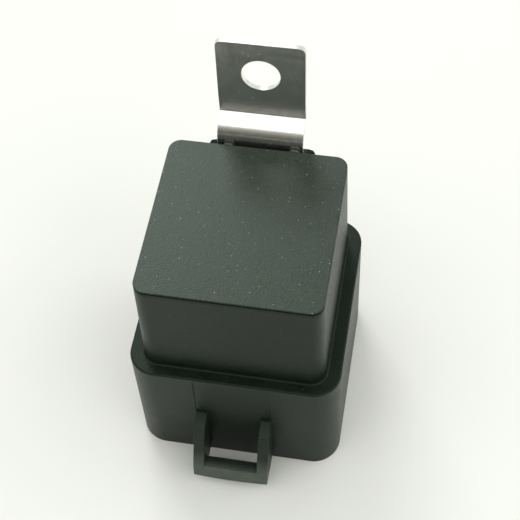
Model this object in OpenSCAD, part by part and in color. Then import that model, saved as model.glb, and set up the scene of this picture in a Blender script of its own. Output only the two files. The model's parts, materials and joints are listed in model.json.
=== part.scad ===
// Sealed, skirted automotive relay with a strap bracket.
// +Z is up, -Y is the latch side, +Y the bracket side. The origin is the
// centre of the skirt's mouth, on the plane that the relay stands on.

/* [Cap] */
// Width of the cap's top, left to right
cap_w = 27; // [25:0.5:29]
// Depth of the cap's top, front to back
cap_d = 27.6; // [25:0.2:28]
// Height of the cap above the shoulder
cap_h = 19.3; // [19:0.1:26]
// How far each wall of the cap leans out from top to foot
cap_draft = 0.45; // [0.2:0.05:0.8]
// Radius of the cap's upright corners at its top
cap_corner_r = 1.9; // [1.2:0.1:3]
// Radius of the edge round the cap's top
cap_edge_r = 0.35; // [0.2:0.05:0.6]
// Radius of the fillet at the cap's foot
cap_foot_r = 0.3; // [0.2:0.05:0.5]
// Thickness of the cap's walls
cap_wall = 1.3; // [1:0.1:1.6]
// Thickness of the cap's roof
cap_roof = 1.3; // [1:0.1:1.6]

/* [Skirt] */
// Width of the skirt at its mouth, left to right
skirt_w = 32.7; // [32.3:0.1:36]
// Depth of the skirt at its mouth, front to back
skirt_d = 32.7; // [32.3:0.1:36]
// Height of the skirt, from its mouth to the shoulder
skirt_h = 22.8; // [21:0.2:28]
// How far each wall of the skirt leans in from mouth to shoulder
skirt_draft = 0.15; // [0.05:0.05:0.3]
// Radius of the skirt's upright corners at the shoulder
skirt_corner_r = 4.2; // [3:0.1:5]
// Radius of the shoulder's outer edge
shoulder_edge_r = 0.3; // [0.15:0.05:0.5]
// Thickness of the shoulder
shoulder_t = 1.8; // [1.2:0.1:2.4]
// Thickness of the skirt's wall
skirt_wall = 1.5; // [1.2:0.05:1.6]

/* [Latch] */
// Width of the latch loop across both cheeks
latch_w = 11.96; // [10:0.1:14]
// Thickness of each cheek
cheek_t = 1.75; // [1.2:0.05:2.4]
// Height of the cheeks' roots on the skirt wall
cheek_top_z = 12.4; // [11.5:0.1:14]
// Height of the cheeks' upper crease
cheek_crease_z = 11.26; // [8:0.02:11.4]
// How far the upper crease stands out from the skirt
cheek_crease_out = 2.66; // [1.5:0.02:4]
// Height of the bar's top face
bar_top_z = 4.8; // [4:0.1:7]
// How far the bar's upper front edge stands out from the skirt
bar_out = 5.72; // [5:0.02:8]
// Depth of the bar, front to back
bar_d = 1.9; // [1.2:0.1:2.4]
// Height of the loop's underside
latch_bottom_z = 1.9; // [1:0.1:3]
// How far the bar's front leans out from its top to its underside
bar_lean = 0.48; // [0:0.02:0.8]
// Depth of the panel let into the skirt above the latch
panel_depth = 0.22; // [0.1:0.02:0.4]
// Height of the panel's lower edge
panel_bottom_z = 12.9; // [12.5:0.1:15]
// Width of the solid rim left between the panel and the shoulder
panel_rim = 0.8; // [0.4:0.1:2]

/* [Bracket] */
// Width of the bracket
strap_w = 13; // [11:0.1:15]
// Thickness of the bracket's sheet
strap_t = 0.8; // [0.6:0.05:1]
// Inside radius of the bend between ledge and plate
bend_r = 0.8; // [0.5:0.05:1.2]
// Inside radius of the bend between leg and ledge
leg_bend_r = 1.2; // [0.8:0.05:1.6]
// How far the ledge rises towards the back, in degrees from level
ledge_slope = 27; // [10:1:35]
// How far the upper plate is set back from the leg
strap_offset = 2.8; // [2.2:0.1:4]
// How far the ledge starts above the cap's top
ledge_above_cap = 1.9; // [1:0.1:4]
// Lean of the upper plate towards the back, in degrees
plate_lean = 2.5; // [0:0.5:5]
// Length of the upper plate above the ledge
plate_len = 13.85; // [12:0.1:20]
// Diameter of the mounting hole
hole_d = 5.7; // [4:0.1:7]
// Distance from the plate's end to the hole's centre
hole_end = 5.95; // [4.5:0.05:7]
// Radius of the plate's two free corners
strap_corner_r = 0.9; // [0.4:0.1:2]
// Depth of the leg inside the sleeve on the cap's back
leg_depth = 12.5; // [10:0.5:15]
// Side and end clearance of the leg in its sleeve
leg_gap = 0.05; // [0.02:0.01:0.1]
// Thickness of the sleeve's side rails
rail_t = 1.65; // [1.2:0.05:2.2]
// Radius of the sleeve's rounded upper corners
rail_r = 1.1; // [0.6:0.1:1.2]
// How far the sleeve's top lies below the cap's top
sleeve_drop = 2; // [0.3:0.1:2.4]
// Width of each grip rib in the sleeve's mouth
grip_w = 1.5; // [1:0.1:2]

/* [Terminals] */
// Width of a blade
blade_w = 6.3; // [4.8:0.1:6.4]
// Thickness of a blade
blade_t = 0.8; // [0.7:0.05:0.9]
// Length of a blade below the seal
blade_len = 11; // [9:0.5:12]
// Diameter of the small hole near each blade's tip
blade_hole_d = 1.6; // [1:0.1:2]
// Height of that hole's centre above the blade's tip
blade_hole_up = 3.2; // [2:0.1:5]
// Chamfer at a blade's tip
blade_chamfer = 1.4; // [0.6:0.1:2]
// Depth of a blade's square end below the base plate's top
blade_end_drop = 0.6; // [0.4:0.1:1]
// Distance between the coil blades, left to right
coil_pitch = 16.8; // [16.8:0.1:18]
// Distance from the centre blade to the normally open blade
open_pitch = 7.9; // [7.6:0.1:8.2]
// Distance from the centre blade to the common blade
common_pitch = 8.9; // [8.6:0.1:9.2]
// Place of the centre blade, front to back
centre_blade_y = -1.2; // [-1.4:0.1:-1]

/* [Base] */
// Thickness of the base plate
base_t = 2.6; // [2.2:0.1:3]
// Thickness of the seal poured under the base plate
seal_t = 1.4; // [1:0.1:2]
// Gap between the base plate and the skirt
base_gap = 0.1; // [0.05:0.01:0.2]
// Height of the wall between coil and contacts
barrier_h = 9; // [6:0.5:11]
// Thickness of that wall
barrier_t = 0.9; // [0.7:0.1:1]

/* [Coil] */
// Width of the yoke and the armature
yoke_w = 13; // [11:0.2:14]
// Thickness of the yoke
yoke_t = 1.6; // [1.2:0.1:1.8]
// Height of the yoke above the base plate
yoke_h = 14; // [13:0.1:14.2]
// Diameter of the iron core
core_d = 6; // [5:0.1:7]
// Diameter of the core's pole head
pole_d = 9.4; // [8:0.1:10]
// Thickness of the pole head
pole_t = 1.2; // [0.8:0.1:1.6]
// Side of the bobbin's square flanges
flange_w = 14.6; // [13:0.1:14.8]
// Thickness of the bobbin's flanges and tube
bobbin_wall = 0.8; // [0.6:0.05:1]
// Diameter over the winding
winding_d = 13; // [11:0.1:13.4]
// Spacing of the winding's turns
turn_pitch = 0.42; // [0.3:0.02:0.6]
// Diameter of the coil's lead wires
lead_d = 0.36; // [0.25:0.01:0.45]

/* [Armature] */
// Thickness of the armature
armature_t = 1.4; // [1:0.1:1.5]
// Opening angle of the armature at rest, in degrees
lift_angle = 3; // [2:0.1:3.4]
// Gap left between armature and pole when closed
residual_gap = 0.1; // [0.05:0.01:0.2]
// Thickness of the contact arm
arm_t = 0.3; // [0.2:0.02:0.4]
// Width of the contact arm at its contact
arm_tip_w = 4.6; // [4:0.1:5]
// Width of the contact arm on the armature
arm_root_w = 8; // [6:0.2:9]
// Width of the armature's tail
tail_w = 4.2; // [3:0.1:4.6]
// Diameter of the contact heads
contact_d = 3.2; // [2.4:0.1:3.4]
// Thickness of the contact heads
contact_t = 0.6; // [0.4:0.05:0.6]
// Gap between two contacts where they meet
contact_gap = 0.08; // [0.05:0.01:0.12]
// Diameter of the return spring's wire
wire_d = 0.32; // [0.25:0.01:0.4]
// Diameter over the return spring's coil
spring_d = 2; // [1.6:0.05:2.1]
// Number of turns in the return spring
spring_turns = 14; // [10:1:15]

/* [Hidden] */
$fn = 48;
tiny = 0.02;
over = 2;
far = 60;

// levels
cap_top_z = skirt_h + cap_h;
base_top_z = skirt_h - shoulder_t;
base_z = base_top_z - base_t;
seal_z = base_z - seal_t;
blade_tip_z = seal_z - blade_len;
yoke_top_z = base_top_z + yoke_h;

// half sizes of the outer forms
cap_hx = cap_w / 2;
cap_hy = cap_d / 2;
skirt_hx = skirt_w / 2 - skirt_draft;
skirt_hy = skirt_d / 2 - skirt_draft;
front_y = -skirt_hy;

// sleeve on the cap's back, and the leg in it
cap_foot_hy = cap_hy + cap_draft;
sleeve_w = strap_w + 2 * leg_gap + 2 * rail_t;
sleeve_top_z = cap_top_z - sleeve_drop;
leg_y = cap_foot_hy + leg_gap + 0.1;
leg_bottom_z = sleeve_top_z - leg_depth;
sleeve_back_y = max(skirt_hy, leg_y + strap_t + leg_gap + 0.8);

// bracket: the front face runs up the leg, back along the ledge and up the plate
ledge_z = cap_top_z + ledge_above_cap;
knee_y = leg_y + strap_offset;
knee_z = ledge_z + strap_offset * tan(ledge_slope);
turn_low = 90 - ledge_slope;
turn_high = 90 - ledge_slope - plate_lean;
trim_low = (leg_bend_r + strap_t) * tan(turn_low / 2);
trim_high = bend_r * tan(turn_high / 2);

// room inside the skirt
room_hx = skirt_hx - skirt_wall;
room_hy = skirt_hy - skirt_wall;

// magnet
coil_y = 0.3;
yoke_front_y = coil_y - core_d / 2 - 1.4;
yoke_back_y = coil_y + flange_w / 2 + 0.3 + yoke_t;
flange_z = base_top_z + yoke_t;
flange_corner_r = 0.8;
spring_lug_w = 2.4;
spring_lug_t = 0.7;
spring_lug_end = 0.5;
pole_edge = 0.2;
barrier_gap = 0.25;
barrier_short = 2;
kerb_w = 1.2;
kerb_h = 0.8;
kerb_gap = 0.1;
pole_z = yoke_top_z - residual_gap;
stem_d = contact_d / 2;
upset = 0.2;
core_stem_d = core_d * 0.6;
core_gap = 0.05;
lug_w = 1.3;
lug_h = 1.1;
lug_gap = 0.15;
notch_gap = 0.2;
spring_y = yoke_back_y + spring_d / 2 + 0.3;
spring_lug_z = base_top_z + 4;

// blades and their ends above the base plate
open_blade_y = centre_blade_y - open_pitch;
common_blade_y = centre_blade_y + common_pitch;
stub_z = base_top_z - blade_end_drop - 0.1;
post_w = 1.6;
post_h = 3.4;
strip_gap = 0.03;
strip_x = blade_w / 2 + 0.6;
strip_run_w = 2.4;
inner_gap = 0.35;
tenon_w = 2.6;
tenon_y = yoke_back_y - yoke_t - 0.4 - tenon_w;

// moving parts, measured with the armature closed
pivot_z = yoke_top_z + 0.03;
armature_front_y = coil_y - pole_d / 2 - 1.6;
tail_y = spring_y + 1;
riser_w = contact_d + 0.4;
contact_y = cap_wall + inner_gap + riser_w / 2 - cap_hy;
arm_z = pivot_z + armature_t;
rivet_y = [coil_y - 1.5, coil_y + 2.5];
rivet_d = 1.2;
rivet_head_h = 0.4;
arm_chamfer = 0.8;
head_z = arm_z - contact_t;
lift = (yoke_back_y - contact_y + contact_d / 2) * sin(lift_angle);
open_tab_z = head_z - contact_gap - contact_t;
closed_tab_z = arm_z + arm_t + contact_t + lift + contact_gap + contact_t;
riser_x = arm_tip_w / 2 + 3.2;

// return spring and braid
spring_z0 = spring_lug_z + 1.5;
spring_z1 = pivot_z - 1.2;
spring_r = (spring_d - wire_d) / 2;
ring_steps = 10;
wire_sides = 6;
hook_gap = 0.4;
braid_w = 1.8;
braid_t = 0.5;
braid_run = 4;
braid_bend_r = 0.5;
braid_drop = 3;
braid_pad_h = 2;
braid_off = 0.3;
braid_x = tail_w / 2 + braid_w / 2 + 0.25;

// Outline of one drafted side, as [distance from the corner's centre, height].
// The wall runs from r1 at z1 down to r0 at z0, and both ends may be rounded:
// the upper edge by edge_r, and the foot by a hollow fillet of foot_r.
function rounding(cr, cz, r, a0, a1, n = 5) =
    [for (i = [0 : n]) let (a = a0 + (a1 - a0) * i / n) [cr + r * cos(a), cz + r * sin(a)]];
function side_outline(r0, z0, r1, z1, edge_r, foot_r) = concat(
    [[-tiny, z0]],
    foot_r > 0 ? rounding(r0 + foot_r, z0 + foot_r, foot_r, 270, 180) : [[r0, z0]],
    edge_r > 0 ? rounding(r1 - edge_r, z1 - edge_r, edge_r, 0, 90) : [[r1, z1]],
    [[-tiny, z1]]);

// Block with leaning walls and rounded upright corners. hx and hy are half
// sizes at the top, where the corner radius is r1.
module drafted_block(hx, hy, r1, draft, z0, z1, edge_r = 0, foot_r = 0) {
    cx = hx - r1;
    cy = hy - r1;
    outline = side_outline(r1 + draft, z0, r1, z1, edge_r, foot_r);
    for (m = [0, 1]) {
        mirror([m, 0, 0]) translate([cx, cy, 0]) rotate([90, 0, 0])
            linear_extrude(2 * cy) polygon(outline);
        mirror([0, m, 0]) translate([-cx, cy, 0]) rotate([90, 0, 90])
            linear_extrude(2 * cx) polygon(outline);
    }
    for (x = [-cx, cx], y = [-cy, cy])
        translate([x, y, 0]) rotate_extrude() polygon([for (p = outline) [max(p[0], 0), p[1]]]);
    translate([-cx, -cy, z0]) cube([2 * cx, 2 * cy, z1 - z0]);
}

// Upright block with rounded corners
module rounded_slab(w, d, r, z0, z1) {
    translate([0, 0, z0]) linear_extrude(z1 - z0) rounded_rect(w, d, r);
}
module rounded_rect(w, d, r) {
    square([w - 2 * r, d], center = true);
    square([w, d - 2 * r], center = true);
    for (x = [-1, 1], y = [-1, 1]) translate([x * (w / 2 - r), y * (d / 2 - r)]) circle(r);
}

// Shape drawn in the (Y, Z) plane and extruded along X, centred on x
module across(w, x = 0) {
    translate([x - w / 2, 0, 0]) rotate([90, 0, 90]) linear_extrude(w) children();
}
// Shape drawn in the (X, Z) plane and extruded along Y, from y0 to y1
module along(y0, y1) {
    translate([0, y1, 0]) rotate([90, 0, 0]) linear_extrude(y1 - y0) children();
}

// Wire of diameter d along the points p, as a tube with wire_sides sides
function unit(v) = v / norm(v);
// Direction of the path at point i, and a ring of points square to it
function heading(p, i) = unit(p[min(i + 1, len(p) - 1)] - p[max(i - 1, 0)]);
function ring(p, i, r) = let (t = heading(p, i), u = unit(cross(t, [0.1, 1, 0.05])), v = cross(t, u))
    [for (k = [0 : wire_sides - 1]) let (a = 360 * k / wire_sides) p[i] + r * (u * cos(a) + v * sin(a))];
module wire(p, d) {
    n = len(p);
    m = wire_sides;
    polyhedron(
        points = [for (i = [0 : n - 1]) each ring(p, i, d / 2)],
        faces = concat(
            [[for (k = [0 : m - 1]) k], [for (k = [m - 1 : -1 : 0]) (n - 1) * m + k]],
            [for (i = [0 : n - 2], k = [0 : m - 1])
                each let (a = i * m + k, b = i * m + (k + 1) % m) [[a, a + m, b + m], [a, b + m, b]]]));
}

// ---- cover ----
module cap_outside() {
    drafted_block(cap_hx, cap_hy, cap_corner_r, cap_draft, skirt_h, cap_top_z, cap_edge_r, cap_foot_r);
}
module cap_inside() {
    r = max(cap_corner_r - cap_wall, 0.5);
    drafted_block(cap_hx - cap_wall, cap_hy - cap_wall, r, cap_draft, base_top_z - tiny, cap_top_z - cap_roof);
}
module skirt_outside() {
    drafted_block(skirt_hx, skirt_hy, skirt_corner_r, skirt_draft, 0, skirt_h, shoulder_edge_r);
}
module skirt_inside() {
    drafted_block(skirt_hx - skirt_wall, skirt_hy - skirt_wall, skirt_corner_r - skirt_wall,
                  skirt_draft, -tiny, base_top_z);
}
module sleeve() {
    h = sleeve_top_z - skirt_h;
    difference() {
        along(cap_hy - cap_wall / 2, sleeve_back_y) translate([0, skirt_h + h / 2]) {
            rounded_rect(sleeve_w, h, rail_r);
            translate([0, -h / 4]) square([sleeve_w, h / 2], center = true);
        }
        leg_slot();
    }
    for (s = [-1, 1]) grip_rib(s);
}
module leg_slot() {
    translate([-strap_w / 2 - leg_gap, leg_y - leg_gap, leg_bottom_z - leg_gap])
        cube([strap_w + 2 * leg_gap, strap_t + 2 * leg_gap, cap_top_z]);
}
// Small rib in the sleeve's mouth, between the cap's wall and the leg
module grip_rib(side) {
    y1 = leg_y - leg_gap;
    translate([side * (strap_w / 2 - grip_w), 0, 0]) across(grip_w)
        polygon([[cap_hy - 0.4, sleeve_top_z - 3], [y1, sleeve_top_z - 2], [y1, sleeve_top_z + 0.1],
                 [cap_hy + 0.1, cap_top_z - cap_edge_r], [cap_hy - 0.4, cap_top_z - cap_edge_r - 0.2]]);
}
module latch() {
    root_y = front_y + 0.4;
    crease_y = front_y - cheek_crease_out;
    bar_y = front_y - bar_out;
    toe_y = bar_y - bar_lean;
    for (s = [-1, 1])
        across(cheek_t, s * (latch_w - cheek_t) / 2)
            polygon([[root_y, cheek_top_z], [front_y, cheek_top_z], [crease_y, cheek_crease_z],
                     [bar_y, bar_top_z], [toe_y, latch_bottom_z], [root_y, latch_bottom_z - 0.4]]);
    across(latch_w - cheek_t)
        polygon([[bar_y, bar_top_z], [toe_y, latch_bottom_z],
                 [toe_y + bar_d, latch_bottom_z], [bar_y + bar_d, bar_top_z]]);
}
module panel() {
    w = latch_w - 0.1;
    z1 = skirt_h - panel_rim;
    translate([-w / 2, front_y - 1 - skirt_draft, panel_bottom_z])
        cube([w, 1 + skirt_draft + panel_depth, z1 - panel_bottom_z]);
    for (s = [-1, 1])
        translate([s * (latch_w - cheek_t) / 2 - cheek_t / 2 + 0.1, front_y - 1, cheek_top_z + 0.3])
            cube([cheek_t - 0.2, 1.7, 0.7]);
}
module cover() {
    color("#31352f") difference() {
        union() {
            cap_outside();
            difference() {
                skirt_outside();
                panel();
            }
            sleeve();
            latch();
        }
        cap_inside();
        skirt_inside();
    }
}

// ---- mounting bracket ----
// Points round a bend, from a0 to a1 about the centre c
function bend(c, r, a0, a1, n = 12) =
    [for (i = [0 : n]) let (a = a0 + (a1 - a0) * i / n) c + r * [cos(a), sin(a)]];
// Side view of the strip: leg, outward bend, ledge, inward bend, plate. One
// face runs up, the other comes back down a sheet's thickness behind it.
module strap_side() {
    front_r = leg_bend_r + strap_t;
    low = [leg_y + front_r, ledge_z - trim_low];
    high = [knee_y, knee_z] - trim_high * [cos(ledge_slope), sin(ledge_slope)]
        + bend_r * [-sin(ledge_slope), cos(ledge_slope)];
    tip = [knee_y, knee_z] + (plate_len + trim_high) * [sin(plate_lean), cos(plate_lean)];
    polygon(concat(
        [[leg_y, leg_bottom_z]],
        bend(low, front_r, 180, 180 - turn_low),
        bend(high, bend_r, ledge_slope - 90, -plate_lean),
        [tip, tip + strap_t * [cos(plate_lean), -sin(plate_lean)]],
        bend(high, bend_r + strap_t, -plate_lean, ledge_slope - 90),
        bend(low, leg_bend_r, 180 - turn_low, 180),
        [[leg_y + strap_t, leg_bottom_z]]));
}
// What is trimmed off one top corner of the plate, seen from the front. Its
// arc starts and ends just outside the strap, so that it crosses both edges.
module corner_trim() {
    mid = [strap_w / 2, 0] + (0.01 - strap_corner_r) * [1, 1];
    polygon(concat(bend(mid, strap_corner_r, 0, 90), [mid + [0, 2], mid + [2, 2], mid + [2, 0]]));
}
// Stands its children, drawn flat about the middle of the plate's top edge, on the plate
module on_plate() {
    translate([0, knee_y, knee_z]) rotate([-plate_lean, 0, 0]) translate([0, 2, plate_len + trim_high])
        rotate([90, 0, 0]) children();
}
module mounting_bracket() {
    color("#b9bab5") difference() {
        across(strap_w) strap_side();
        on_plate() for (m = [0, 1]) mirror([m, 0, 0]) linear_extrude(4) corner_trim();
        on_plate() translate([0, -hole_end, 0]) cylinder(h = 4, d = hole_d);
    }
}

// ---- terminals ----
// Blade below the seal, wide along X, with a chamfered, thinned tip
module blade(top_z) {
    c = blade_chamfer;
    thin = blade_t / 4;
    intersection() {
        along(-blade_t / 2, blade_t / 2)
            polygon([[-blade_w / 2, top_z], [-blade_w / 2, blade_tip_z + c], [-blade_w / 2 + c, blade_tip_z],
                     [blade_w / 2 - c, blade_tip_z], [blade_w / 2, blade_tip_z + c], [blade_w / 2, top_z]]);
        across(blade_w)
            polygon([[-blade_t / 2, top_z], [-blade_t / 2, blade_tip_z + c], [-thin, blade_tip_z],
                     [thin, blade_tip_z], [blade_t / 2, blade_tip_z + c], [blade_t / 2, top_z]]);
    }
}
module drilled_blade(top_z) {
    difference() {
        blade(top_z);
        translate([0, -blade_t, blade_tip_z + blade_hole_up]) rotate([-90, 0, 0]) cylinder(h = 2 * blade_t, d = blade_hole_d);
    }
}
module coil_terminal(side) {
    translate([side * coil_pitch / 2, 0, 0]) {
        rotate([0, 0, 90]) drilled_blade(base_top_z - blade_end_drop);
        translate([-blade_t / 2, -post_w / 2, stub_z]) cube([blade_t, post_w, post_h + base_top_z - stub_z]);
    }
}
module terminal_85() {
    color("#c9c4b4") coil_terminal(1);
}
module terminal_86() {
    color("#c9c4b4") coil_terminal(-1);
}
module terminal_30() {
    color("#c9c4b4") {
        translate([0, common_blade_y, 0]) rotate([0, 0, 90]) drilled_blade(base_top_z - blade_end_drop);
        translate([-blade_t / 2, tenon_y, stub_z]) cube([blade_t, tenon_w, flange_z - stub_z]);
    }
}
// Normally open: the blade runs straight up and its top is folded forwards
module terminal_87() {
    tab_z = open_tab_z;
    color("#c9c4b4") {
        translate([0, open_blade_y, 0]) drilled_blade(base_top_z - blade_end_drop);
        difference() {
            union() {
                translate([-riser_w / 2, open_blade_y - blade_t / 2, stub_z])
                    cube([riser_w, blade_t, tab_z - stub_z]);
                translate([-riser_w / 2, contact_y - riser_w / 2, tab_z - blade_t])
                    cube([riser_w, open_blade_y + blade_t / 2 - contact_y + riser_w / 2, blade_t]);
            }
            translate([0, contact_y, tab_z - over]) cylinder(h = 2 * over, d = stem_d + 2 * tiny);
        }
    }
}
// Normally closed: the strip runs under the base plate, rises beside the contacts
// and folds over above them
module terminal_87a() {
    top = closed_tab_z + blade_t;
    y0 = contact_y - riser_w / 2;
    color("#c9c4b4") {
        translate([0, centre_blade_y, 0]) drilled_blade(base_z + blade_t);
        strip_87a(0);
        difference() {
            translate([-riser_w / 2, y0, top - blade_t]) cube([riser_x + blade_t + riser_w / 2, riser_w, blade_t]);
            translate([0, contact_y, top - over]) cylinder(h = 2 * over, d = stem_d + 2 * tiny);
        }
    }
}
module strip_87a(gap) {
    y0 = contact_y - riser_w / 2;
    y1 = centre_blade_y + blade_t / 2;
    x1 = riser_x + blade_t;
    translate([strip_x - gap, y0 - gap, base_z - gap])
        cube([x1 - strip_x + 2 * gap, y1 - y0 + 2 * gap, blade_t + 2 * gap]);
    translate([-blade_w / 2 - gap, y1 - strip_run_w - gap, base_z - gap])
        cube([x1 + blade_w / 2 + 2 * gap, strip_run_w + 2 * gap, blade_t + 2 * gap]);
    translate([riser_x - gap, y0 - gap, base_z - gap])
        cube([blade_t + 2 * gap, riser_w + 2 * gap, closed_tab_z + blade_t - base_z + gap]);
}

// ---- base plate and seal ----
module blade_slots(w, d) {
    for (s = [-1, 1]) translate([s * coil_pitch / 2, 0, 0]) cube([d, w, far], center = true);
    for (y = [centre_blade_y, open_blade_y]) translate([0, y, 0]) cube([w, d, far], center = true);
    translate([0, common_blade_y, 0]) cube([d, w, far], center = true);
}
module base_plate() {
    w = 2 * (room_hx - base_gap);
    d = 2 * (room_hy - base_gap);
    barrier_y = coil_y - flange_w / 2 - barrier_gap - barrier_t;
    color("#5b4a33") difference() {
        union() {
            rounded_slab(w, d, skirt_corner_r - skirt_wall, base_z, base_top_z);
            translate([-yoke_w / 2, barrier_y, base_top_z]) cube([yoke_w - barrier_short, barrier_t, barrier_h]);
            for (s = [-1, 1])
                translate([s * (yoke_w / 2 + kerb_gap + kerb_w / 2) - kerb_w / 2, yoke_front_y + 1, base_top_z])
                    cube([kerb_w, yoke_back_y - yoke_front_y - 2, kerb_h]);
        }
        difference() {
            blade_slots(blade_w + 2 * strip_gap, blade_t + 2 * strip_gap);
            translate([-blade_w, centre_blade_y - 1, base_z + blade_t + strip_gap])
                cube([2 * blade_w, 2, far]);
            translate([-far / 2, -far / 2, base_top_z + tiny]) cube([far, far, far]);
        }
        strip_87a(strip_gap);
    }
}
module potting_seal() {
    w = 2 * (room_hx - tiny);
    d = 2 * (room_hy - tiny);
    color("#1d1f1e") difference() {
        rounded_slab(w, d, skirt_corner_r - skirt_wall, seal_z, base_z);
        blade_slots(blade_w + 2 * tiny, blade_t + 2 * tiny);
    }
}

// ---- magnet ----
module yoke() {
    color("#8d8f90") difference() {
        union() {
            translate([-yoke_w / 2, yoke_front_y, base_top_z])
                cube([yoke_w, yoke_back_y - yoke_front_y, yoke_t]);
            translate([-yoke_w / 2, yoke_back_y - yoke_t, base_top_z]) cube([yoke_w, yoke_t, yoke_h]);
            for (s = [-1, 1])
                translate([s * (yoke_w - lug_w) / 2 - lug_w / 2, yoke_back_y - yoke_t, yoke_top_z - tiny])
                    cube([lug_w, yoke_t, lug_h + tiny]);
            translate([-spring_lug_w / 2, yoke_back_y - tiny, spring_lug_z])
                cube([spring_lug_w, spring_d + spring_lug_end, spring_lug_t]);
        }
        translate([0, coil_y, base_top_z - over]) cylinder(h = yoke_t + 2 * over, d = core_stem_d + 2 * tiny);
        translate([-blade_t / 2 - tiny, tenon_y - tiny, base_top_z - over])
            cube([blade_t + 2 * tiny, tenon_w + 2 * tiny, yoke_t + 2 * over]);
        translate([0, spring_y, spring_lug_z - over]) cylinder(h = 2 * over, d = wire_d + hook_gap, $fn = 24);
    }
}
module iron_core() {
    color("#9a9c9e") translate([0, coil_y, 0]) {
        translate([0, 0, base_top_z]) cylinder(h = yoke_t + tiny, d = core_stem_d);
        translate([0, 0, flange_z]) cylinder(h = pole_z - flange_z, d = core_d);
        translate([0, 0, pole_z - pole_t]) cylinder(h = pole_t - pole_edge, d = pole_d);
        translate([0, 0, pole_z - pole_edge]) cylinder(h = pole_edge, d1 = pole_d, d2 = pole_d - 2 * pole_edge);
    }
}
module bobbin() {
    bore = core_d + 2 * core_gap;
    top_z = pole_z - pole_t;
    color("#e8e4d4") translate([0, coil_y, 0]) difference() {
        union() {
            rounded_slab(flange_w, flange_w, flange_corner_r, flange_z, flange_z + bobbin_wall);
            rounded_slab(flange_w, flange_w, flange_corner_r, top_z - bobbin_wall, top_z);
            translate([0, 0, flange_z]) cylinder(h = top_z - flange_z, d = bore + 2 * bobbin_wall);
        }
        translate([0, 0, flange_z - over]) cylinder(h = top_z - flange_z + 2 * over, d = bore);
    }
}
// Winding with the outer layer's turns as half-round ridges
module coil_winding() {
    z0 = flange_z + bobbin_wall + tiny;
    z1 = pole_z - pole_t - bobbin_wall - tiny;
    turns = floor((z1 - z0) / turn_pitch);
    pitch = (z1 - z0) / turns;
    r0 = core_d / 2 + core_gap + bobbin_wall + tiny;
    r1 = winding_d / 2 - pitch / 2;
    ridge = [for (i = [0 : turns - 1], a = [0 : 45 : 135])
        [r1 + pitch / 2 * sin(a), z0 + pitch * (i + 0.5) - pitch / 2 * cos(a)]];
    color("#8a3f1c") translate([0, coil_y, 0]) rotate_extrude()
        polygon(concat([[r0, z0]], ridge, [[r1, z1], [r0, z1]]));
}
// Wire from the winding's foot out over the flange to the terminal's post
module coil_lead(side) {
    z = flange_z + bobbin_wall + lead_d / 2 + 0.05;
    post_x = coil_pitch / 2 - blade_t / 2 - lead_d / 2 - tiny;
    from_x = (winding_d + lead_d) / 2 + tiny;
    color("#a8552a") wire([for (p = [
        [from_x, coil_y - 2.5, z], [from_x, coil_y - 1.2, z], [from_x + 0.1, coil_y - 0.4, z + 0.05],
        [post_x - 0.3, 0.1, z + 0.2], [post_x, 0.1, z + 0.5], [post_x, 0.1, base_top_z + post_h]])
        [side * p[0], p[1], p[2]]], lead_d);
}
module coil_lead_85() {
    coil_lead(1);
}
module coil_lead_86() {
    coil_lead(-1);
}

// ---- moving parts, drawn closed and turned open about the yoke's back edge ----
module opened() {
    translate([0, yoke_back_y, pivot_z]) rotate([-lift_angle, 0, 0])
        translate([0, -yoke_back_y, -pivot_z]) children();
}
module armature() {
    notch_y = yoke_back_y - yoke_t - notch_gap;
    inner_w = yoke_w - 2 * lug_w - 2 * lug_gap;
    color("#86888a") opened() difference() {
        translate([0, 0, pivot_z]) linear_extrude(armature_t)
            polygon([[-yoke_w / 2, armature_front_y], [yoke_w / 2, armature_front_y], [yoke_w / 2, notch_y],
                     [inner_w / 2, notch_y], [inner_w / 2, yoke_back_y], [tail_w / 2, yoke_back_y],
                     [tail_w / 2, tail_y], [-tail_w / 2, tail_y], [-tail_w / 2, yoke_back_y],
                     [-inner_w / 2, yoke_back_y], [-inner_w / 2, notch_y], [-yoke_w / 2, notch_y]]);
        for (y = rivet_y) translate([0, y, pivot_z - over]) cylinder(h = 3 * over, d = rivet_d + 2 * tiny);
        translate([0, spring_y, pivot_z - over]) cylinder(h = 3 * over, d = wire_d + 1.5 * hook_gap, $fn = 24);
    }
}
module contact_arm() {
    y0 = contact_y - riser_w / 2;
    y1 = yoke_back_y - yoke_t - 1;
    c = arm_chamfer;
    color("#c08a4a") opened() difference() {
        translate([0, 0, arm_z]) linear_extrude(arm_t)
            polygon([[-arm_tip_w / 2 + c, y0], [arm_tip_w / 2 - c, y0], [arm_tip_w / 2, y0 + c],
                     [arm_tip_w / 2, armature_front_y - 0.6], [arm_root_w / 2, armature_front_y + 1],
                     [arm_root_w / 2, y1], [-arm_root_w / 2, y1], [-arm_root_w / 2, armature_front_y + 1],
                     [-arm_tip_w / 2, armature_front_y - 0.6], [-arm_tip_w / 2, y0 + c]]);
        translate([0, contact_y, arm_z - over]) cylinder(h = 2 * over, d = stem_d + 2 * tiny);
        for (y = rivet_y) translate([0, y, arm_z - over]) cylinder(h = 2 * over, d = rivet_d + 2 * tiny);
    }
}
module arm_rivets() {
    color("#9c9ea0") opened() for (y = rivet_y) translate([0, y, 0]) {
        translate([0, 0, pivot_z]) cylinder(h = armature_t + arm_t, d = rivet_d);
        translate([0, 0, arm_z + arm_t]) cylinder(h = rivet_head_h, d1 = rivet_d * 1.7, d2 = rivet_d * 1.3);
    }
}
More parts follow.
